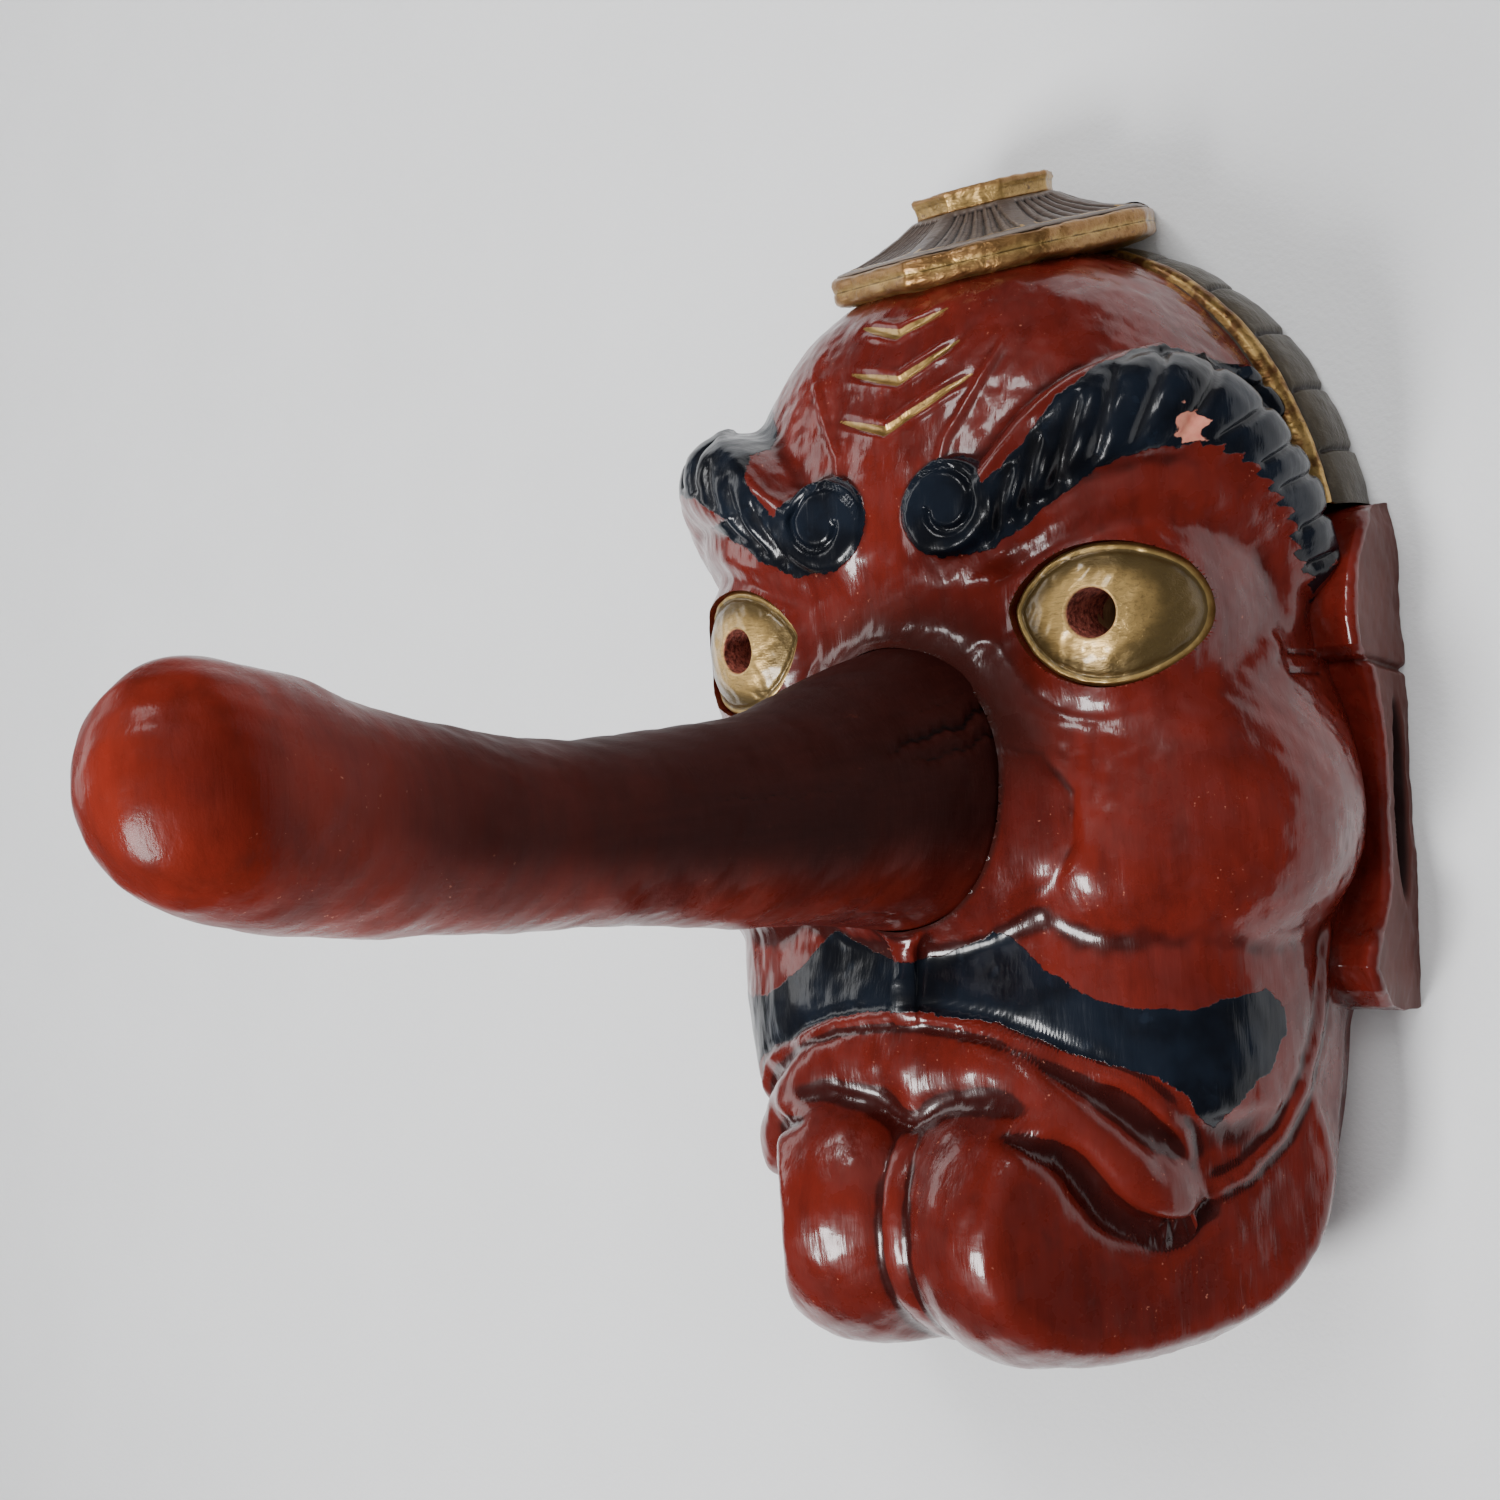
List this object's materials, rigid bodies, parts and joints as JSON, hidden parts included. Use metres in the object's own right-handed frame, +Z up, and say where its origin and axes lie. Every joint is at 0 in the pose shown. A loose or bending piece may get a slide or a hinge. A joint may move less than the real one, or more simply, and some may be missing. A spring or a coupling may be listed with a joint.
{
  "type": "tengu mask",
  "caption": "Carved wooden tengu wall mask: hollow lacquered face, long nose that plugs out, gilded eyes, pleated cap, head band, ears and a hanging ring.",
  "frame": {"origin": "point on the wall plane level with the inner top of the hanging ring, behind the crown of the mask", "axes": "+Z up, -Y the way the mask looks (the wall is at y = 0), +X towards the wearer's left ear"},
  "size_m": [0.192, 0.3055, 0.3],
  "materials": {
    "red_lacquer": "glossy red lacquer over carved wood, with blue-black and gold painted parts",
    "nose_lacquer": "glossy red lacquer shading to brown-black on top",
    "gilt": "brushed gold paint on carved wood",
    "cap_brown": "dark brown painted wood with thin gold lines",
    "band_paint": "grey-brown painted wood with a gold front ridge",
    "raw_wood": "bare pale wood",
    "brass_hanger": "aged brass",
    "steel_screw": "dull steel"
  },
  "bodies": {
    "mask": {"face_shell": "red_lacquer", "eye_left": "gilt", "eye_right": "gilt", "cap_base": "gilt", "cap_roof": "cap_brown", "cap_knob": "gilt", "cap_peg": "raw_wood", "band_left": "band_paint", "band_right": "band_paint", "ear_left": "red_lacquer", "ear_right": "red_lacquer", "ear_pegs": "raw_wood", "hanger_strap": "brass_hanger", "hanger_screws": "steel_screw"},
    "nose_plug": {"nose": "nose_lacquer", "nose_tenon": "raw_wood"},
    "ring": {"hanger_ring": "brass_hanger"}
  },
  "joints": [
    {"name": "nose_pull", "type": "slide", "parent": "mask", "child": "nose_plug", "axis": [0, -1, 0], "range_m": [0, 0.06]},
    {"name": "ring_swing", "type": "hinge", "parent": "mask", "child": "ring", "pos_m": [0, -0.0064, -0.00892], "axis": [-1, 0, 0], "range_deg": [0, 170]}
  ]
}
